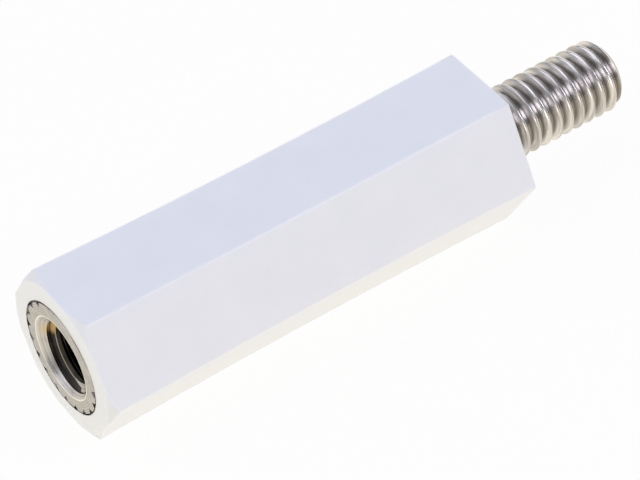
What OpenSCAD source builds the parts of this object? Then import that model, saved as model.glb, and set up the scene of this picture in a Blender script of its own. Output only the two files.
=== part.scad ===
// Hexagonal insulating spacer: a moulded plastic hexagon bar with a knurled, tapped insert
// in one end and a threaded stud standing out of the other. The metal pieces never touch,
// so the plastic between them insulates what the spacer joins.
// The spacer lies on one flat, its axis along X, the stud towards +X.
// The origin is on the surface that it lies on, under the middle of its whole length.

/* [Plastic body] */
// Distance across two opposite flats, at the ends of the body
across_flats = 8; // [7:0.1:14]
// Length of the body between its two end faces
body_length = 25; // [21:0.5:80]
// Depth by which each flat sinks at mid-length, where the plastic shrank in the mould
flat_sink = 0.14; // [0.04:0.02:0.3]
// Radial width of the chamfer that rounds off the six corners at the tapped end
corner_chamfer = 0.54; // [0.2:0.02:0.6]
// Slope of that chamfer, measured from the end face
chamfer_slope = 30; // [15:1:45]

/* [Thread] */
// Nominal diameter of the metric thread, inside the insert and on the stud
thread_d = 4; // [3:0.5:4.5]
// Pitch of that thread
thread_pitch = 0.7; // [0.5:0.05:0.8]
// Amount by which the stud's outer diameter is under the nominal one
stud_allowance = 0.1; // [0.02:0.02:0.2]

/* [Tapped insert] */
// Diameter of the insert over its knurl
insert_d = 5.9; // [5.6:0.1:6.6]
// Length of the insert inside the body
insert_length = 10; // [8:0.5:12]
// Height by which the insert's ring stands above the plastic end face
insert_proud = 0.05; // [0.02:0.01:0.2]
// Number of V grooves in the knurl
knurl_teeth = 20; // [16:1:30]
// Depth of each V groove
knurl_depth = 0.27; // [0.1:0.01:0.3]
// Depth to which the knurl's lands bite into the plastic
knurl_bite = 0.04; // [0.02:0.01:0.05]
// Diameter of the locking groove between the insert's two knurled bands
insert_groove_d = 4.9; // [4.7:0.1:5.1]
// Width of that groove
insert_groove_width = 2; // [1:0.5:3]
// Length of the knurled band next to the end face
front_band = 4; // [2:0.5:5]
// Diameter of the countersink at the mouth of the bore
countersink_d = 4.45; // [4:0.05:5]
// Depth of the bore's full diameter, below the insert's ring
bore_depth = 8.5; // [5:0.5:10]
// Point angle of the drill that made the bore
drill_point = 118; // [90:1:140]

/* [Stud] */
// Length of the stud outside the body
stud_length = 8; // [4:0.5:20]
// Chamfer at the stud's tip, along and across
tip_chamfer = 0.35; // [0.1:0.05:0.6]
// Length of plain neck between the body's end face and the stud's head
neck_length = 1.5; // [1:0.5:3]
// How far the neck lies below the stud's outer surface, where the thread runs out
neck_relief = 0.2; // [0.1:0.05:0.4]
// Length of the knurled head that holds the stud in the plastic
head_length = 7; // [4:0.5:8]
// Diameter of the head over its knurl
head_d = 5.8; // [5.4:0.1:6.6]
// Diameter of the locking groove round the middle of the head
head_groove_d = 4.8; // [4.4:0.1:5]
// Width of that groove
head_groove_width = 2; // [1:0.5:3]
// Chamfer on the head's buried end, along and across
head_chamfer = 0.4; // [0.1:0.1:0.6]

/* [Hidden] */

$fn = 96;
// Number of straight steps that a sunk flat's long curve is drawn with
sink_steps = 20;
// How far a cutting or trimming shape runs past the faces that it crosses
overrun = 1;

corner_r = across_flats / sqrt(3);
face_r = corner_r - corner_chamfer;

stud_d = thread_d - stud_allowance;
neck_d = stud_d - 2 * neck_relief;
bore_d = thread_d - thread_pitch;
countersink_depth = (countersink_d - bore_d) / 2;
drill_point_length = bore_d / 2 / tan(drill_point / 2);
socket_d = insert_d - 2 * knurl_bite;
rear_band_start = front_band + insert_groove_width;

overall_length = insert_proud + body_length + stud_length;
// Where the body's tapped end face lies along X
tapped_face_x = insert_proud - overall_length / 2;

// Everything is drawn standing on the tapped end face, with the spacer's axis along +Z,
// and is laid down by this module.
module lay_down() {
    translate([tapped_face_x, 0, across_flats / 2])
        rotate([0, 90, 0])
            children();
}

// A length of straight knurl: flat lands of the full diameter between V grooves whose
// two sides stand square to each other. Each tooth is one groove bottom and one land.
module straight_knurl(diameter, length) {
    crest_r = diameter / 2;
    root_r = crest_r - knurl_depth;
    step = 360 / knurl_teeth;
    groove_half_angle = asin(knurl_depth / crest_r);
    linear_extrude(height = length)
        polygon([for (i = [0:knurl_teeth - 1], corner = [
            [root_r, 0],
            [crest_r, groove_half_angle],
            [crest_r, step - groove_half_angle]
        ]) corner[0] * [cos(i * step + corner[1]), sin(i * step + corner[1])]]);
}

// Depth of a sunk flat at height z: a shallow parabola, nothing at the ends
function sink_at(z) = flat_sink * (1 - pow(2 * z / body_length - 1, 2));

// A plate as thick as the bar is across its flats, with both faces sunk towards mid-length
module sunk_plate() {
    half = across_flats / 2;
    edge = concat(
        [[half, -overrun]],
        [for (i = [0:sink_steps])
            let (z = i * body_length / sink_steps)
                [half - sink_at(z), z]],
        [[half, body_length + overrun]]
    );
    opposite_edge = [for (i = [len(edge) - 1:-1:0]) [-edge[i][0], edge[i][1]]];
    rotate([90, 0, 0])
        linear_extrude(height = 2 * (corner_r + overrun), center = true)
            polygon(concat(edge, opposite_edge));
}

// The solid of revolution that trims the bar: flat at both ends, with the turned chamfer
module turned_envelope() {
    chamfer_width = corner_chamfer + overrun;
    rotate_extrude()
        polygon([
            [0, 0],
            [face_r, 0],
            [face_r + chamfer_width, chamfer_width * tan(chamfer_slope)],
            [face_r + chamfer_width, body_length],
            [0, body_length]
        ]);
}

// The cavity that holds the insert. Plastic fills the locking groove. Each knurled band
// sits in a round wall that its lands bite into, so its V grooves stay open to the end face.
module insert_cavity() {
    translate([0, 0, -overrun]) {
        cylinder(d = socket_d, h = overrun + front_band);
        straight_knurl(insert_d, overrun + front_band);
    }
    cylinder(d = insert_groove_d, h = insert_length);
    translate([0, 0, rear_band_start]) {
        cylinder(d = socket_d, h = insert_length - rear_band_start);
        straight_knurl(insert_d, insert_length - rear_band_start);
    }
}

// The part of the stud that is buried in the plastic, which is also its cavity: the stud
// tapers to a plain neck just below the end face, then comes a knurled head with a
// locking groove and a chamfered end.
module stud_root() {
    head_end = body_length - neck_length;
    band_length = (head_length - head_groove_width) / 2;
    translate([0, 0, head_end - band_length])
        straight_knurl(head_d, band_length);
    translate([0, 0, head_end - band_length - head_groove_width])
        cylinder(d = head_groove_d, h = head_groove_width);
    translate([0, 0, head_end - head_length])
        intersection() {
            straight_knurl(head_d, band_length);
            cylinder(
                d1 = head_d - 2 * head_chamfer,
                d2 = head_d - 2 * head_chamfer + 2 * band_length,
                h = band_length
            );
        }
    translate([0, 0, head_end])
        cylinder(d = neck_d, h = neck_length - neck_relief);
    translate([0, 0, body_length - neck_relief])
        cylinder(d1 = neck_d, d2 = stud_d, h = neck_relief);
}

module spacer_body() {
    color([0.93, 0.94, 0.97])
        lay_down()
            difference() {
                intersection() {
                    intersection_for(turn = [0, 60, 120])
                        rotate([0, 0, turn])
                            sunk_plate();
                    turned_envelope();
                }
                insert_cavity();
                stud_root();
            }
}

module tapped_insert() {
    color([0.77, 0.75, 0.7])
        lay_down()
            difference() {
                union() {
                    translate([0, 0, -insert_proud])
                        straight_knurl(insert_d, insert_proud + front_band);
                    translate([0, 0, front_band])
                        cylinder(d = insert_groove_d, h = insert_groove_width);
                    translate([0, 0, rear_band_start])
                        straight_knurl(insert_d, insert_length - rear_band_start);
                }
                translate([0, 0, -insert_proud]) {
                    cylinder(d = bore_d, h = bore_depth);
                    translate([0, 0, bore_depth])
                        cylinder(d1 = bore_d, d2 = 0, h = drill_point_length);
                    translate([0, 0, -overrun])
                        cylinder(
                            d1 = countersink_d + 2 * overrun,
                            d2 = bore_d,
                            h = countersink_depth + overrun
                        );
                }
            }
}

module threaded_stud() {
    color([0.7, 0.69, 0.68])
        lay_down() {
            stud_root();
            translate([0, 0, body_length]) {
                cylinder(d = stud_d, h = stud_length - tip_chamfer);
                translate([0, 0, stud_length - tip_chamfer])
                    cylinder(d1 = stud_d, d2 = stud_d - 2 * tip_chamfer, h = tip_chamfer);
            }
        }
}

spacer_body();
tapped_insert();
threaded_stud();
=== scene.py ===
import math

import bpy
from mathutils import Euler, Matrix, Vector


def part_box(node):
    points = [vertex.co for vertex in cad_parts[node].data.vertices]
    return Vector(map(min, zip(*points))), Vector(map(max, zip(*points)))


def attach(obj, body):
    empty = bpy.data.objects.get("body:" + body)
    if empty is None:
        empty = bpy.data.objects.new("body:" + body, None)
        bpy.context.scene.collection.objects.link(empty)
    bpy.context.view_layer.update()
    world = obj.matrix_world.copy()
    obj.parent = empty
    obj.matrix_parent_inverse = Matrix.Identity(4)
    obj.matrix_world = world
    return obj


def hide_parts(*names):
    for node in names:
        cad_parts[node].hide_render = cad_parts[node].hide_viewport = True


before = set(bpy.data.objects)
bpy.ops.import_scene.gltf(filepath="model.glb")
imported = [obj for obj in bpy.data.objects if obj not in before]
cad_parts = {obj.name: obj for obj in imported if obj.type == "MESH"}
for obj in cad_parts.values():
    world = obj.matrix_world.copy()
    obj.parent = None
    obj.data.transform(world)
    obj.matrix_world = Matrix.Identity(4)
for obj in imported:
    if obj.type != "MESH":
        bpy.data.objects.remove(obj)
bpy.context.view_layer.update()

# ---- Plastic body ----
# A hexagon bar of white polyamide 6.6, injection moulded round the two metal pieces. Its
# six flats sank a little in the middle as the plastic shrank, its long corners are softly
# rounded by the mould, and the tapped end was faced and chamfered on a lathe afterwards.
mm = 0.001
body_low, body_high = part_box("spacer_body")
axis_height = (body_low.z + body_high.z) / 2
across_flats = body_high.z - body_low.z
corner_radius = across_flats / math.sqrt(3)
body_length = body_high.x - body_low.x
body_middle = (body_low.x + body_high.x) / 2
hair = 0.01 * mm
flat_sink = 0.14 * mm
long_corner_width = 0.12 * mm
end_edge_width = 0.03 * mm
corner_chamfer = 0.54 * mm
face_radius = corner_radius - corner_chamfer
chamfer_slope = math.radians(30)


def select_only(piece, kind, wanted):
    """Enters edit mode with only the vertices, edges or faces chosen by a test selected."""
    bpy.ops.object.mode_set(mode="EDIT")
    bpy.ops.mesh.select_mode(type=kind)
    bpy.ops.mesh.select_all(action="DESELECT")
    bpy.ops.object.mode_set(mode="OBJECT")
    mesh = piece.data
    if kind == "VERT":
        for vertex in mesh.vertices:
            vertex.select = wanted(vertex.co)
    elif kind == "EDGE":
        for edge in mesh.edges:
            start, end = (mesh.vertices[i].co for i in edge.vertices)
            edge.select = wanted(start, end)
    else:
        for face in mesh.polygons:
            face.select = wanted(face.center, face.normal)
    bpy.ops.object.mode_set(mode="EDIT")


def apply_modifier(piece, kind, **settings):
    """Adds a modifier to a piece and applies it."""
    bpy.ops.object.mode_set(mode="OBJECT")
    bpy.ops.object.select_all(action="DESELECT")
    bpy.context.view_layer.objects.active = piece
    piece.select_set(True)
    modifier = piece.modifiers.new("finish", kind)
    for name, value in settings.items():
        setattr(modifier, name, value)
    bpy.ops.object.modifier_apply(modifier=modifier.name)


merge_distance = 0.0002 * mm


def combine(piece, tool, operation):
    """Cuts, joins or trims a piece with a tool, which is used up."""
    apply_modifier(piece, "BOOLEAN", object=tool, operation=operation, solver="EXACT")
    bpy.data.objects.remove(tool)
    bpy.ops.object.mode_set(mode="EDIT")
    bpy.ops.mesh.select_all(action="SELECT")
    bpy.ops.mesh.remove_doubles(threshold=merge_distance)
    bpy.ops.mesh.dissolve_degenerate(threshold=merge_distance)
    bpy.ops.object.mode_set(mode="OBJECT")


def turn_bar(name, stations, sides=96, turned=0.0):
    """Turns a bar about the spacer's axis: a disc, extruded from station to station.

    A cutting bar is turned by a fraction of a degree, so that its edges meet no others.
    """
    bpy.ops.object.select_all(action="DESELECT")
    x, radius = stations[0]
    bpy.ops.mesh.primitive_circle_add(
        vertices=sides, radius=radius, fill_type="NGON",
        location=(x, 0, axis_height), rotation=(math.radians(90), turned, math.radians(90)),
    )
    bar = bpy.context.object
    bar.name = name
    bpy.ops.object.transform_apply()
    bpy.ops.object.mode_set(mode="EDIT")
    bpy.ops.mesh.select_mode(type="FACE")
    bpy.ops.mesh.select_all(action="SELECT")
    for next_x, next_radius in stations[1:]:
        bpy.ops.mesh.extrude_region_move(TRANSFORM_OT_translate={"value": (next_x - x, 0, 0)})
        growth = next_radius / radius
        bpy.ops.transform.resize(
            value=(1, growth, growth), center_override=(next_x, 0, axis_height)
        )
        x, radius = next_x, next_radius
    bpy.ops.mesh.select_all(action="SELECT")
    bpy.ops.mesh.remove_doubles(threshold=merge_distance / 2)
    bpy.ops.mesh.normals_make_consistent(inside=False)
    bpy.ops.object.mode_set(mode="OBJECT")
    return bar


bpy.ops.object.select_all(action="DESELECT")
bpy.ops.mesh.primitive_cylinder_add(
    vertices=6, radius=corner_radius, depth=body_length, end_fill_type="NGON",
    location=(body_middle, 0, axis_height), rotation=(0, math.radians(90), 0),
)
body = bpy.context.object
body.name = "moulded_body"
bpy.ops.object.transform_apply()

# The long edges are divided, and each ring is drawn in to the shallow curve of the sunk flats.
steps = 20
select_only(body, "EDGE", lambda start, end: abs(start.x - end.x) > body_length / 2)
bpy.ops.mesh.subdivide(number_cuts=steps - 1)
for step in range(1, steps):
    station = body_low.x + body_length * step / steps
    sink = flat_sink * (1 - (2 * step / steps - 1) ** 2)
    waist = 1 - sink / (across_flats / 2)
    select_only(body, "VERT", lambda point: abs(point.x - station) < hair)
    bpy.ops.transform.resize(
        value=(1, waist, waist), center_override=(station, 0, axis_height)
    )

# The mould rounds the long corners, and the edges of both ends are hardly broken.
beyond_flats = across_flats / 2 * 1.05
select_only(
    body, "EDGE",
    lambda start, end: abs(start.x - end.x) > mm
    and math.hypot(start.y, start.z - axis_height) > beyond_flats,
)
bpy.ops.mesh.bevel(offset=long_corner_width, segments=4, affect="EDGES")
select_only(
    body, "EDGE",
    lambda start, end: abs(start.x - end.x) < hair
    and abs(abs(start.x - body_middle) - body_length / 2) < hair,
)
bpy.ops.mesh.bevel(offset=end_edge_width, segments=2, affect="EDGES")
bpy.ops.object.mode_set(mode="OBJECT")

# The lathe leaves the tapped end round, with a chamfer that only reaches the six corners.
lathe_width = 1.2 * mm
envelope = turn_bar("lathe_envelope", [
    (body_low.x, face_radius),
    (body_low.x + lathe_width * math.tan(chamfer_slope), face_radius + lathe_width),
    (body_high.x + mm, face_radius + lathe_width),
], sides=192, turned=math.radians(0.7))
combine(body, envelope, "INTERSECT")

# In front, the plastic grips the insert and fills its locking groove.
insert_length = 10 * mm
insert_radius = 2.95 * mm
groove_start = body_low.x + 4 * mm
groove_end = body_low.x + 6 * mm
groove_radius = 2.45 * mm
socket_radius = insert_radius + 0.008 * mm
clearance = 0.02 * mm
insert_socket = turn_bar("insert_socket", [
    (body_low.x - mm, socket_radius),
    (groove_start, socket_radius),
    (groove_start, groove_radius + hair),
    (groove_end, groove_radius + hair),
    (groove_end, socket_radius),
    (body_low.x + insert_length + clearance, socket_radius),
], sides=160, turned=math.radians(0.4))
combine(body, insert_socket, "DIFFERENCE")

# Low on one side the tool has lifted the plastic from the ring, which leaves a thin gap whose
# walls are painted dark as shade.
lifted = math.radians(320)
gap_radius = insert_radius + 0.105 * mm
gap_shift = 0.11 * mm
gap_depth = 0.4 * mm
gap_tool = turn_bar("lifted_edge", [
    (body_low.x - mm, gap_radius),
    (body_low.x + gap_depth / 2, gap_radius),
    (body_low.x + gap_depth, insert_radius - 0.1 * mm),
], sides=150, turned=math.radians(0.9))
bpy.ops.object.select_all(action="DESELECT")
gap_tool.select_set(True)
bpy.ops.transform.translate(
    value=(0, gap_shift * math.cos(lifted), gap_shift * math.sin(lifted))
)
bpy.ops.object.transform_apply()
combine(body, gap_tool, "DIFFERENCE")

# Behind, it closes over the stud's head and grips the core of its shank.
neck_length = 1.5 * mm
head_length = 7 * mm
head_radius = 2.9 * mm
thread_core_radius = 1.6 * mm
head_end = body_high.x - neck_length
stud_socket = turn_bar("stud_socket", [
    (head_end - head_length - clearance, head_radius + clearance),
    (head_end + clearance, head_radius + clearance),
    (head_end + clearance, thread_core_radius + hair),
    (body_high.x + mm, thread_core_radius + hair),
])
combine(body, stud_socket, "DIFFERENCE")
bpy.ops.object.shade_smooth_by_angle(angle=math.radians(24))
apply_modifier(body, "WEIGHTED_NORMAL", weight=80, keep_sharp=True)


def linear(colour):
    """Turns an sRGB hex colour into linear values."""
    parts = (int(colour[i:i + 2], 16) / 255 for i in (1, 3, 5))
    return (*(p / 12.92 if p <= 0.04045 else ((p + 0.055) / 1.055) ** 2.4 for p in parts), 1)


def add_node(material, kind, sockets=None, **settings):
    """Adds a node, sets its properties, and sets or links its sockets."""
    node = material.node_tree.nodes.new(kind)
    for name, value in settings.items():
        setattr(node, name, value)
    for name, value in (sockets or {}).items():
        if isinstance(value, bpy.types.NodeSocket):
            material.node_tree.links.new(value, node.inputs[name])
        else:
            node.inputs[name].default_value = value
    return node


def new_material(name):
    """Makes a material that has no nodes yet."""
    material = bpy.data.materials.new(name)
    material.use_nodes = True
    material.node_tree.nodes.clear()
    return material


# White polyamide 6.6, moulded in a fine-ground steel mould: a clean, very slightly bluish
# white with a soft sheen. A little light gets under the surface, which keeps the shadows
# at the edges soft. Its finest grain is about 0.15 mm, with a faint mottle of 2 mm.
polyamide = new_material("white_moulded_polyamide")
place = add_node(polyamide, "ShaderNodeTexCoord").outputs["Object"]
mottle = add_node(
    polyamide, "ShaderNodeTexNoise", {"Vector": place, "Scale": 500, "Detail": 3}
).outputs["Fac"]
grain = add_node(
    polyamide, "ShaderNodeTexNoise", {"Vector": place, "Scale": 6500, "Detail": 2}
).outputs["Fac"]
tint = add_node(
    polyamide, "ShaderNodeMix",
    {"Factor": mottle, "A": linear("#EDEEF2"), "B": linear("#F3F3F6")}, data_type="RGBA",
).outputs["Result"]
sheen = add_node(
    polyamide, "ShaderNodeMapRange",
    {"Value": grain, "To Min": 0.33, "To Max": 0.43},
).outputs["Result"]
skin = add_node(
    polyamide, "ShaderNodeBump", {"Height": grain, "Strength": 0.25, "Distance": 0.004 * mm}
).outputs["Normal"]
plastic = add_node(polyamide, "ShaderNodeBsdfPrincipled", {
    "Base Color": tint, "Roughness": sheen, "Normal": skin, "IOR": 1.53,
    "Subsurface Weight": 0.2, "Subsurface Radius": (1.0, 1.0, 1.0), "Subsurface Scale": 0.5 * mm,
}).outputs["BSDF"]
add_node(polyamide, "ShaderNodeOutputMaterial", {"Surface": plastic})


def measure_from_axis(material):
    """Adds the nodes for a point's place, its place from the axis, and its radius there."""
    place = add_node(material, "ShaderNodeTexCoord").outputs["Object"]
    centred = add_node(
        material, "ShaderNodeMapping", {"Vector": place, "Location": (0, 0, -axis_height)}
    ).outputs["Vector"]
    across = add_node(
        material, "ShaderNodeVectorMath", {0: centred, 1: (0, 1, 1)}, operation="MULTIPLY"
    ).outputs["Vector"]
    radius = add_node(
        material, "ShaderNodeVectorMath", {0: across}, operation="LENGTH"
    ).outputs["Value"]
    return place, centred, radius


# The same plastic where the lathe faced it: duller, with fine rings 0.12 mm apart, and a
# little greyer out on the chamfer, where the tool left it rougher. A Wave pattern repeats
# every 0.314 m at scale 1, so its scale is that period over the rings' spacing.
wave_period = 0.314
turned_polyamide = new_material("white_turned_polyamide")
_, centred, radius = measure_from_axis(turned_polyamide)
rings = add_node(
    turned_polyamide, "ShaderNodeTexWave",
    {"Vector": centred, "Scale": wave_period / (0.12 * mm), "Distortion": 0.4,
     "Detail Scale": 200},
    wave_type="RINGS", rings_direction="X",
).outputs["Fac"]
chamfered = add_node(turned_polyamide, "ShaderNodeMapRange", {
    "Value": radius, "From Min": face_radius - 0.02 * mm, "From Max": face_radius + 0.04 * mm,
}).outputs["Result"]
tint = add_node(
    turned_polyamide, "ShaderNodeMix",
    {"Factor": chamfered, "A": linear("#F8F7F5"), "B": linear("#EFF0F3")}, data_type="RGBA",
).outputs["Result"]
skin = add_node(
    turned_polyamide, "ShaderNodeBump", {"Height": rings, "Strength": 0.3, "Distance": 0.003 * mm}
).outputs["Normal"]
plastic = add_node(turned_polyamide, "ShaderNodeBsdfPrincipled", {
    "Base Color": tint, "Roughness": 0.55, "Normal": skin, "IOR": 1.53,
    "Subsurface Weight": 0.2, "Subsurface Radius": (1.0, 1.0, 1.0), "Subsurface Scale": 0.5 * mm,
}).outputs["BSDF"]
add_node(turned_polyamide, "ShaderNodeOutputMaterial", {"Surface": plastic})

# Painted shade: dark patches of about 0.3 mm on the walls of the gap beside the ring, where shade
# falls between plastic and metal.
gap_painted_shade = new_material("polyamide_with_painted_gap_shade")
place = add_node(gap_painted_shade, "ShaderNodeTexCoord").outputs["Object"]
shade_patches = add_node(
    gap_painted_shade, "ShaderNodeTexNoise", {"Vector": place, "Scale": 3000, "Detail": 2}
).outputs["Fac"]
shade_patches = add_node(
    gap_painted_shade, "ShaderNodeMapRange", {"Value": shade_patches, "From Min": 0.46, "From Max": 0.6}
).outputs["Result"]
tint = add_node(
    gap_painted_shade, "ShaderNodeMix",
    {"Factor": shade_patches, "A": linear("#CFCCC6"), "B": linear("#2A2825")}, data_type="RGBA",
).outputs["Result"]
gap_shade = add_node(
    gap_painted_shade, "ShaderNodeBsdfPrincipled", {"Base Color": tint, "Roughness": 0.7, "IOR": 1.53}
).outputs["BSDF"]
add_node(gap_painted_shade, "ShaderNodeOutputMaterial", {"Surface": gap_shade})
body.data.materials.clear()
for material in (polyamide, turned_polyamide, gap_painted_shade):
    body.data.materials.append(material)
tapped_end_depth = 0.5 * mm
select_only(
    body, "FACE",
    lambda centre, normal: normal.x < -0.8 and centre.x < body_low.x + tapped_end_depth,
)
body.active_material_index = 1
bpy.ops.object.material_slot_assign()
# The walls of the gap beside the ring get the painted shade.
select_only(
    body, "FACE",
    lambda centre, normal: abs(normal.x) < 0.8 and centre.x < body_low.x + tapped_end_depth
    and 0.02 * mm < math.hypot(centre.y, centre.z - axis_height) - insert_radius < 0.3 * mm,
)
body.active_material_index = 2
bpy.ops.object.material_slot_assign()
bpy.ops.object.mode_set(mode="OBJECT")
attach(body, "root")
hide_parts("spacer_body")

# ---- Tapped insert ----
# A bushing turned from brass bar and nickel plated. Two bands of straight knurl and the
# groove between them lock it in the plastic. It is drilled, countersunk and tapped M4, and
# its ring stands 0.05 mm above the plastic, with the open ends of the V grooves round it.
insert_low, insert_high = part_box("tapped_insert")
ring_x = insert_low.x
knurl_teeth = 20
knurl_depth = 0.27 * mm
edge_break = 0.03 * mm
insert = turn_bar("tapped_bushing", [
    (ring_x, insert_radius - edge_break),
    (ring_x + edge_break, insert_radius),
    (groove_start, insert_radius),
    (groove_start, groove_radius),
    (groove_end, groove_radius),
    (groove_end, insert_radius),
    (insert_high.x - edge_break, insert_radius),
    (insert_high.x, insert_radius - edge_break),
], sides=4 * knurl_teeth)


def press_knurl(piece, first_x, last_x, depth, closed_from=0, closed_to=0):
    """Draws every fourth edge of a turned band inwards, which leaves V grooves and lands."""

    def in_groove(point):
        angle = math.degrees(math.atan2(point.z - axis_height, point.y)) % 360
        if closed_from < angle < closed_to and point.x < first_x + 0.1 * mm:
            return False
        turn = angle * knurl_teeth / 360
        return first_x <= point.x <= last_x and abs(turn - round(turn)) < 0.05

    select_only(piece, "VERT", in_groove)
    shrink = 1 - depth / insert_radius
    bpy.ops.transform.resize(
        value=(1, shrink, shrink), center_override=(first_x, 0, axis_height)
    )
    bpy.ops.object.mode_set(mode="OBJECT")


# The groove ends are burred over on the side that met the lathe tool, from 60 to 165 degrees.
press_knurl(insert, ring_x - hair, groove_start - hair, knurl_depth, 60, 165)
press_knurl(insert, groove_end + hair, insert_high.x + hair, knurl_depth)


def wind_thread(name, start_x, turns, root_radius, crest_radius, pitch, crest_width, flank):
    """Winds one right-hand ridge round the spacer's axis, rounded along its crest.

    It is turned by a degree or so at the end, so that its corners miss the bar's edges.
    """
    bpy.ops.object.select_all(action="DESELECT")
    bpy.ops.mesh.primitive_plane_add(size=1, location=(0, 0, axis_height))
    ridge = bpy.context.object
    ridge.name = name
    height = crest_radius - root_radius
    base_width = crest_width + 2 * height * math.tan(flank)
    bpy.ops.object.mode_set(mode="EDIT")
    bpy.ops.mesh.select_all(action="SELECT")
    bpy.ops.transform.resize(value=(base_width, height, 1))
    bpy.ops.transform.translate(value=(start_x, root_radius + height / 2, 0))
    select_only(ridge, "VERT", lambda point: point.y > root_radius + height / 2)
    bpy.ops.transform.resize(value=(crest_width / base_width, 1, 1))
    bpy.ops.mesh.bevel(offset=crest_width * 0.48, segments=3, affect="VERTICES")
    apply_modifier(
        ridge, "SCREW", axis="X", angle=math.radians(360), screw_offset=pitch,
        iterations=turns, steps=96, render_steps=96, use_merge_vertices=False,
    )
    bpy.ops.object.mode_set(mode="EDIT")
    bpy.ops.mesh.select_all(action="SELECT")
    bpy.ops.mesh.fill_holes(sides=0)
    bpy.ops.mesh.select_all(action="SELECT")
    bpy.ops.mesh.normals_make_consistent(inside=False)
    bpy.ops.transform.rotate(
        value=math.radians(1.3), orient_axis="X", center_override=(0, 0, axis_height)
    )
    bpy.ops.object.mode_set(mode="OBJECT")
    bpy.ops.object.transform_apply()
    return ridge


pitch = 0.7 * mm
thread_flank = math.radians(30)
drill_radius = 1.65 * mm
bore_depth = 8.5 * mm
drill_point = 0.95 * mm
tap_radius = 2.0 * mm
countersink_radius = 2.225 * mm
countersink_end = 1.4 * mm
drill = turn_bar("tapping_drill", [
    (ring_x - mm, drill_radius),
    (ring_x + bore_depth, drill_radius),
    (ring_x + bore_depth + drill_point, 0.05 * mm),
])
tap = wind_thread(
    "tap", start_x=ring_x - 0.9 * mm, turns=12, root_radius=drill_radius - 0.05 * mm,
    crest_radius=tap_radius, pitch=pitch, crest_width=0.09 * mm, flank=thread_flank,
)
countersink = turn_bar("countersink", [
    (ring_x - 0.5 * mm, countersink_radius + 0.5 * mm),
    (ring_x + countersink_radius - countersink_end, countersink_end),
])
combine(insert, drill, "DIFFERENCE")
combine(insert, tap, "DIFFERENCE")
combine(insert, countersink, "DIFFERENCE")
bpy.ops.object.shade_smooth_by_angle(angle=math.radians(30))

# Nickel over turned brass: a warm light grey. The lathe leaves rings 0.13 mm apart on the face,
# and the plating has small dull patches about 0.5 mm across. The countersink is brighter and its
# sharp edge is rubbed bright. On one side the tap scraped it to bare brass, which is also made
# bright there as a painted highlight.
nickel = new_material("nickel_plated_turned_brass")
place, centred, radius = measure_from_axis(nickel)
rings = add_node(
    nickel, "ShaderNodeTexWave",
    {"Vector": centred, "Scale": wave_period / (0.13 * mm), "Distortion": 0.8,
     "Detail Scale": 300},
    wave_type="RINGS", rings_direction="X",
).outputs["Fac"]
patches = add_node(
    nickel, "ShaderNodeTexNoise", {"Vector": place, "Scale": 2000, "Detail": 4}
).outputs["Fac"]
patches = add_node(
    nickel, "ShaderNodeMapRange", {"Value": patches, "From Min": 0.35, "From Max": 0.65}
).outputs["Result"]
worn = add_node(
    nickel, "ShaderNodeMix", {"Factor": 0.45, "A": rings, "B": patches}, data_type="FLOAT"
).outputs["Result"]
plated = add_node(
    nickel, "ShaderNodeMix",
    {"Factor": worn, "A": linear("#9C9791"), "B": linear("#D2CDC6")}, data_type="RGBA",
).outputs["Result"]
on_countersink = add_node(nickel, "ShaderNodeMapRange", {
    "Value": radius, "From Min": countersink_radius + 0.015 * mm,
    "From Max": countersink_radius - 0.025 * mm, "To Max": 0.2,
}).outputs["Result"]
plated = add_node(
    nickel, "ShaderNodeMix",
    {"Factor": on_countersink, "A": plated, "B": linear("#F2EEE6")}, data_type="RGBA",
).outputs["Result"]
off_rim = add_node(
    nickel, "ShaderNodeMath", {0: radius, 1: countersink_radius + hair}, operation="SUBTRACT"
).outputs["Value"]
off_rim = add_node(
    nickel, "ShaderNodeMath", {0: off_rim}, operation="ABSOLUTE"
).outputs["Value"]
on_rim = add_node(nickel, "ShaderNodeMapRange", {
    "Value": off_rim, "From Min": 0.06 * mm, "From Max": 0.02 * mm,
}).outputs["Result"]
tint = add_node(
    nickel, "ShaderNodeMix",
    {"Factor": on_rim, "A": plated, "B": linear("#F0ECE5")}, data_type="RGBA",
).outputs["Result"]
# A brass-coloured patch where the tap entered: bare brass, and also a painted highlight.
from_entry = add_node(
    nickel, "ShaderNodeVectorMath",
    {0: centred, 1: (ring_x + 0.5 * mm, 1.72 * mm, 0.2 * mm)}, operation="DISTANCE",
).outputs["Value"]
bare_brass_highlight = add_node(nickel, "ShaderNodeMapRange", {
    "Value": from_entry, "From Min": 0.6 * mm, "From Max": 0.25 * mm, "To Max": 0.85,
}).outputs["Result"]
tint = add_node(
    nickel, "ShaderNodeMix",
    {"Factor": bare_brass_highlight, "A": tint, "B": linear("#D9BE8C")}, data_type="RGBA",
).outputs["Result"]
dullness = add_node(
    nickel, "ShaderNodeMapRange", {"Value": patches, "To Min": 0.24, "To Max": 0.42}
).outputs["Result"]
turning = add_node(
    nickel, "ShaderNodeBump", {"Height": rings, "Strength": 0.6, "Distance": 0.006 * mm}
).outputs["Normal"]
plating = add_node(nickel, "ShaderNodeBsdfPrincipled", {
    "Base Color": tint, "Metallic": 1.0, "Roughness": dullness, "Normal": turning,
}).outputs["BSDF"]
add_node(nickel, "ShaderNodeOutputMaterial", {"Surface": plating})
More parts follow.
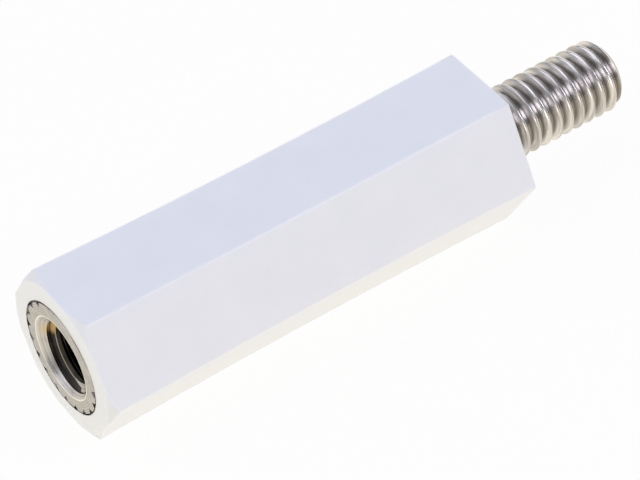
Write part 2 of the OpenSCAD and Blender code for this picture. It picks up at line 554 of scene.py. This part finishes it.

# The tapped thread was cut last. Deep in the bore its flanks are painted dark as shade, and only
# its sharp crests are painted bright as glints. The first turn shows bare brass where the tap
# entered, also made bright there as a painted highlight.
thread_painted_shade_and_glints = new_material("tapped_brass_painted_shade_and_glints")
place, centred, radius = measure_from_axis(thread_painted_shade_and_glints)
# Painted glint: the thread's crests are painted bright.
painted_crest_glint = add_node(thread_painted_shade_and_glints, "ShaderNodeMapRange", {
    "Value": radius, "From Min": drill_radius + 0.04 * mm, "From Max": drill_radius + 0.005 * mm,
}).outputs["Result"]
# Painted shade: the flanks are painted nearly black, a little mottled.
shade_and_roughness_noise = add_node(
    thread_painted_shade_and_glints, "ShaderNodeTexNoise", {"Vector": place, "Scale": 3000, "Detail": 3}
).outputs["Fac"]
painted_bore_shade = add_node(
    thread_painted_shade_and_glints, "ShaderNodeMix",
    {"Factor": shade_and_roughness_noise, "A": linear("#262322"), "B": linear("#4A4440")}, data_type="RGBA",
).outputs["Result"]
tint = add_node(
    thread_painted_shade_and_glints, "ShaderNodeMix",
    {"Factor": painted_crest_glint, "A": painted_bore_shade, "B": linear("#D2CABD")}, data_type="RGBA",
).outputs["Result"]
# Bare brass at the tap's entry, which also stands in for a highlight.
from_entry = add_node(
    thread_painted_shade_and_glints, "ShaderNodeVectorMath",
    {0: centred, 1: (ring_x + 0.5 * mm, 1.7 * mm, 0.25 * mm)}, operation="DISTANCE",
).outputs["Value"]
bare_brass_highlight = add_node(thread_painted_shade_and_glints, "ShaderNodeMapRange", {
    "Value": from_entry, "From Min": 0.55 * mm, "From Max": 0.25 * mm, "To Max": 0.9,
}).outputs["Result"]
tint = add_node(
    thread_painted_shade_and_glints, "ShaderNodeMix",
    {"Factor": bare_brass_highlight, "A": tint, "B": linear("#CDAA70")}, data_type="RGBA",
).outputs["Result"]
dullness = add_node(
    thread_painted_shade_and_glints, "ShaderNodeMapRange", {"Value": shade_and_roughness_noise, "To Min": 0.25, "To Max": 0.45}
).outputs["Result"]
thread_metal = add_node(thread_painted_shade_and_glints, "ShaderNodeBsdfPrincipled", {
    "Base Color": tint, "Metallic": 1.0, "Roughness": dullness,
}).outputs["BSDF"]
add_node(thread_painted_shade_and_glints, "ShaderNodeOutputMaterial", {"Surface": thread_metal})
insert.data.materials.clear()
for material in (nickel, thread_painted_shade_and_glints):
    insert.data.materials.append(material)


def inside_bore(centre, normal):
    """Is this face part of the tapped hole, and not of its countersink?"""
    depth = centre.x - ring_x
    from_axis = math.hypot(centre.y, centre.z - axis_height)
    on_countersink = abs(from_axis - (countersink_radius - depth)) < 0.02 * mm
    in_depth = 0.1 * mm < depth < bore_depth + mm
    return in_depth and from_axis < tap_radius + 0.02 * mm and not on_countersink


# The tapped hole gets the painted shade and glints.
select_only(insert, "FACE", inside_bore)
insert.active_material_index = 1
bpy.ops.object.material_slot_assign()
bpy.ops.object.mode_set(mode="OBJECT")
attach(insert, "root")
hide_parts("tapped_insert")

# ---- Threaded stud ----
# An M4 stud of plated steel. The thread is rolled, so its crests are rounded, and it runs
# from the plastic to the chamfered tip. The buried head is knurled like the insert.
tip_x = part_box("threaded_stud")[1].x
stud_radius = 1.95 * mm
tip_chamfer = 0.35 * mm
stud = turn_bar("rolled_stud", [
    (head_end - 0.5 * mm, thread_core_radius),
    (tip_x + 0.2 * mm, thread_core_radius),
])
ridge = wind_thread(
    "rolled_thread", start_x=body_high.x - 0.037 * mm - pitch, turns=14,
    root_radius=thread_core_radius - 0.05 * mm, crest_radius=stud_radius,
    pitch=pitch, crest_width=0.15 * mm, flank=thread_flank,
)
combine(stud, ridge, "UNION")

# The thread is trimmed flush with the plastic, and the tip gets its chamfer.
trim_margin = 0.15 * mm
trim = turn_bar("thread_trim", [
    (head_end - mm, thread_core_radius - hair),
    (body_high.x, thread_core_radius - hair),
    (body_high.x, stud_radius + trim_margin),
    (tip_x - tip_chamfer - trim_margin, stud_radius + trim_margin),
    (tip_x, stud_radius - tip_chamfer),
])
combine(stud, trim, "INTERSECT")

# The buried head has two bands of knurl with a locking groove between them.
head_chamfer = 0.4 * mm
head_groove_start = head_end - 4.5 * mm
head_groove_end = head_end - 2.5 * mm
head_groove_radius = 2.4 * mm
head_knurl_depth = 0.2 * mm
head = turn_bar("stud_head", [
    (head_end - head_length, head_radius - head_chamfer),
    (head_end - head_length + head_chamfer, head_radius),
    (head_groove_start, head_radius),
    (head_groove_start, head_groove_radius),
    (head_groove_end, head_groove_radius),
    (head_groove_end, head_radius),
    (head_end, head_radius),
], sides=4 * knurl_teeth)
press_knurl(head, head_end - head_length - hair, head_groove_start - hair, head_knurl_depth)
press_knurl(head, head_groove_end + hair, head_end + hair, head_knurl_depth)
combine(stud, head, "UNION")

# The trimmed thread has bent many-sided faces, which are split into well-shaped triangles.
select_only(stud, "FACE", lambda centre, normal: True)
bpy.ops.mesh.quads_convert_to_tris(quad_method="BEAUTY", ngon_method="BEAUTY")
bpy.ops.object.mode_set(mode="OBJECT")
bpy.ops.object.shade_smooth_by_angle(angle=math.radians(32))

# Nickel-plated steel, burnished by the rolling dies, with fine drag lines about 0.1 mm apart that
# run round the thread. Its colour is brighter on the crests, partly burnish and partly a painted
# highlight, and darker in the roots as painted shade.
steel = new_material("nickel_plated_rolled_steel")
_, centred, radius = measure_from_axis(steel)
crest_burnish_and_root_shade = add_node(steel, "ShaderNodeMapRange", {
    "Value": radius, "From Min": thread_core_radius, "From Max": thread_core_radius + 0.2 * mm,
}).outputs["Result"]
stretched = add_node(
    steel, "ShaderNodeMapping", {"Vector": centred, "Scale": (12, 0.5, 0.5)}
).outputs["Vector"]
drag = add_node(
    steel, "ShaderNodeTexNoise", {"Vector": stretched, "Scale": 800, "Detail": 2}
).outputs["Fac"]
streaks = add_node(
    steel, "ShaderNodeMapRange", {"Value": drag, "From Min": 0.38, "From Max": 0.62}
).outputs["Result"]
rolled = add_node(
    steel, "ShaderNodeMix",
    {"Factor": streaks, "A": linear("#BCB7B2"), "B": linear("#E8E3DE")}, data_type="RGBA",
).outputs["Result"]
# Painted shade in the thread roots, and a painted highlight with the burnish on the crests.
tint = add_node(
    steel, "ShaderNodeMix",
    {"Factor": crest_burnish_and_root_shade, "A": linear("#9A938B"), "B": rolled}, data_type="RGBA",
).outputs["Result"]
dullness = add_node(
    steel, "ShaderNodeMapRange", {"Value": streaks, "To Min": 0.35, "To Max": 0.24}
).outputs["Result"]
lines = add_node(
    steel, "ShaderNodeBump", {"Height": drag, "Strength": 0.5, "Distance": 0.006 * mm}
).outputs["Normal"]
plating = add_node(steel, "ShaderNodeBsdfPrincipled", {
    "Base Color": tint, "Metallic": 1.0, "Roughness": dullness, "Normal": lines,
}).outputs["BSDF"]
add_node(steel, "ShaderNodeOutputMaterial", {"Surface": plating})

# The tip was faced before plating: rings 0.16 mm apart, and dull patches of about 0.6 mm.
faced_steel = new_material("nickel_plated_faced_steel")
place = add_node(faced_steel, "ShaderNodeTexCoord").outputs["Object"]
centred = add_node(
    faced_steel, "ShaderNodeMapping", {"Vector": place, "Location": (0, 0, -axis_height)}
).outputs["Vector"]
rings = add_node(
    faced_steel, "ShaderNodeTexWave",
    {"Vector": centred, "Scale": wave_period / (0.16 * mm), "Distortion": 1.0,
     "Detail Scale": 250},
    wave_type="RINGS", rings_direction="X",
).outputs["Fac"]
patches = add_node(
    faced_steel, "ShaderNodeTexNoise", {"Vector": place, "Scale": 1700, "Detail": 4}
).outputs["Fac"]
patches = add_node(
    faced_steel, "ShaderNodeMapRange", {"Value": patches, "From Min": 0.36, "From Max": 0.64}
).outputs["Result"]
worn = add_node(
    faced_steel, "ShaderNodeMix", {"Factor": 0.5, "A": rings, "B": patches}, data_type="FLOAT"
).outputs["Result"]
tint = add_node(
    faced_steel, "ShaderNodeMix",
    {"Factor": worn, "A": linear("#ABA6A0"), "B": linear("#DCD7D1")}, data_type="RGBA",
).outputs["Result"]
dullness = add_node(
    faced_steel, "ShaderNodeMapRange", {"Value": patches, "To Min": 0.26, "To Max": 0.42}
).outputs["Result"]
facing = add_node(
    faced_steel, "ShaderNodeBump", {"Height": rings, "Strength": 0.6, "Distance": 0.006 * mm}
).outputs["Normal"]
plating = add_node(faced_steel, "ShaderNodeBsdfPrincipled", {
    "Base Color": tint, "Metallic": 1.0, "Roughness": dullness, "Normal": facing,
}).outputs["BSDF"]
add_node(faced_steel, "ShaderNodeOutputMaterial", {"Surface": plating})
stud.data.materials.clear()
for material in (steel, faced_steel):
    stud.data.materials.append(material)
select_only(
    stud, "FACE",
    lambda centre, normal: normal.x > 0.95 and centre.x > tip_x - hair,
)
stud.active_material_index = 1
bpy.ops.object.material_slot_assign()
bpy.ops.object.mode_set(mode="OBJECT")
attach(stud, "root")
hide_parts("threaded_stud")

# ---- Floor ----
# A sheet of plain white board that the spacer lies on. It looks white, sends back a slightly
# creamy light to the metal and to the low flats, and keeps a faint soft shadow.
bpy.ops.object.select_all(action="DESELECT")
bpy.ops.mesh.primitive_plane_add(size=3, location=(0, 0, 0))
floor = bpy.context.object
floor.name = "floor"
board = new_material("white_board")

# Most of the board's white is a glow of its own, so that it is as white far off as near by.
board_glow = 0.95
seen = add_node(board, "ShaderNodeLightPath").outputs["Is Camera Ray"]
matt = add_node(
    board, "ShaderNodeBsdfDiffuse", {"Color": linear("#F8F3E6")}
).outputs["BSDF"]
returned = add_node(
    board, "ShaderNodeMix",
    {"Factor": seen, "A": linear("#FFFBF1"), "B": linear("#FFFFFF")}, data_type="RGBA",
).outputs["Result"]
glow = add_node(
    board, "ShaderNodeEmission", {"Color": returned, "Strength": 1.0}
).outputs["Emission"]
mixed = add_node(
    board, "ShaderNodeMixShader", {0: board_glow, 1: matt, 2: glow}
).outputs["Shader"]
add_node(board, "ShaderNodeOutputMaterial", {"Surface": mixed})
floor.data.materials.append(board)

# ---- Light ----
# Plain soft studio light: a dim even room above a low white backdrop, a softbox in front
# above the far end, a low warm one beside it for the flats near the floor, a weak one
# behind, and a wide panel high over the tapped end, which lights the top flat.
world = bpy.data.worlds.new("studio")
bpy.context.scene.world = world
world.use_nodes = True
world.node_tree.nodes.clear()

# The backdrop is seen directly and in the metal, and fades from 4.6 to 6.3 degrees up.
seen = add_node(world, "ShaderNodeLightPath").outputs
in_view = add_node(
    world, "ShaderNodeMath",
    {0: seen["Is Camera Ray"], 1: seen["Is Glossy Ray"]}, operation="MAXIMUM",
).outputs["Value"]
in_view = add_node(
    world, "ShaderNodeMath", {0: in_view, 1: seen["Is Transmission Ray"]}, operation="MAXIMUM"
).outputs["Value"]
towards_sky = add_node(world, "ShaderNodeTexCoord").outputs["Generated"]
rise = add_node(world, "ShaderNodeSeparateXYZ", {"Vector": towards_sky}).outputs["Z"]
low_down = add_node(
    world, "ShaderNodeMapRange", {"Value": rise, "From Min": 0.11, "From Max": 0.08}
).outputs["Result"]
backdrop = add_node(
    world, "ShaderNodeMath", {0: in_view, 1: low_down}, operation="MULTIPLY"
).outputs["Value"]
room = add_node(
    world, "ShaderNodeBackground", {"Color": (0.88, 0.92, 1.0, 1), "Strength": 0.26}
).outputs["Background"]
white = add_node(
    world, "ShaderNodeBackground", {"Color": (1, 1, 1, 1), "Strength": 1.0}
).outputs["Background"]
mixed = add_node(
    world, "ShaderNodeMixShader", {0: backdrop, 1: room, 2: white}
).outputs["Shader"]
add_node(world, "ShaderNodeOutputWorld", {"Surface": mixed})
softbox_distance = 0.6


def hang_softbox(name, direction, size, power, colour):
    """Hangs a square softbox in a direction from the spacer, facing it."""
    towards = Vector(direction).normalized()
    bpy.ops.object.light_add(type="AREA", location=towards * softbox_distance)
    lamp = bpy.context.object
    lamp.name = name
    lamp.rotation_euler = towards.to_track_quat("Z", "Y").to_euler()
    lamp.data.shape = "SQUARE"
    lamp.data.size = size
    lamp.data.energy = power
    lamp.data.color = colour


hang_softbox("front_softbox", (0.36, -0.61, 0.71), 0.29, 1.3, (0.78, 0.8, 0.97))
hang_softbox("low_front_softbox", (-0.42, -0.9, 0.1), 0.35, 1.1, (1.0, 0.93, 0.76))
hang_softbox("back_softbox", (0.48, 0.8, 0.36), 0.4, 0.55, (0.88, 0.9, 1.0))
hang_softbox("left_panel", (-0.47, 0.4, 0.79), 0.8, 2.5, (0.86, 0.89, 1.0))

# ---- Camera ----
# A long lens 145 mm away, 45 degrees up, that looks along the spacer from its tapped end.
# It is rolled a little, so that the bar climbs to the right.
aim = Vector((-1.885, -0.626, 3.485)) * mm
camera_distance = 145.35 * mm
azimuth = math.radians(-33.88)
elevation = math.radians(45.26)
roll = math.radians(-2.5)
back = Vector((
    math.sin(azimuth) * math.cos(elevation),
    -math.cos(azimuth) * math.cos(elevation),
    math.sin(elevation),
))
bpy.ops.object.camera_add(location=aim + back * camera_distance)
camera = bpy.context.object
camera.name = "camera"
level = back.to_track_quat("Z", "Y")
camera.rotation_euler = (level @ Euler((0, 0, roll)).to_quaternion()).to_euler()
camera.data.lens = 166.0
camera.data.clip_start = 0.005
bpy.context.scene.camera = camera

# ---- Render colours ----
# Colours are shown as they are written.
bpy.context.scene.view_settings.view_transform = "Standard"
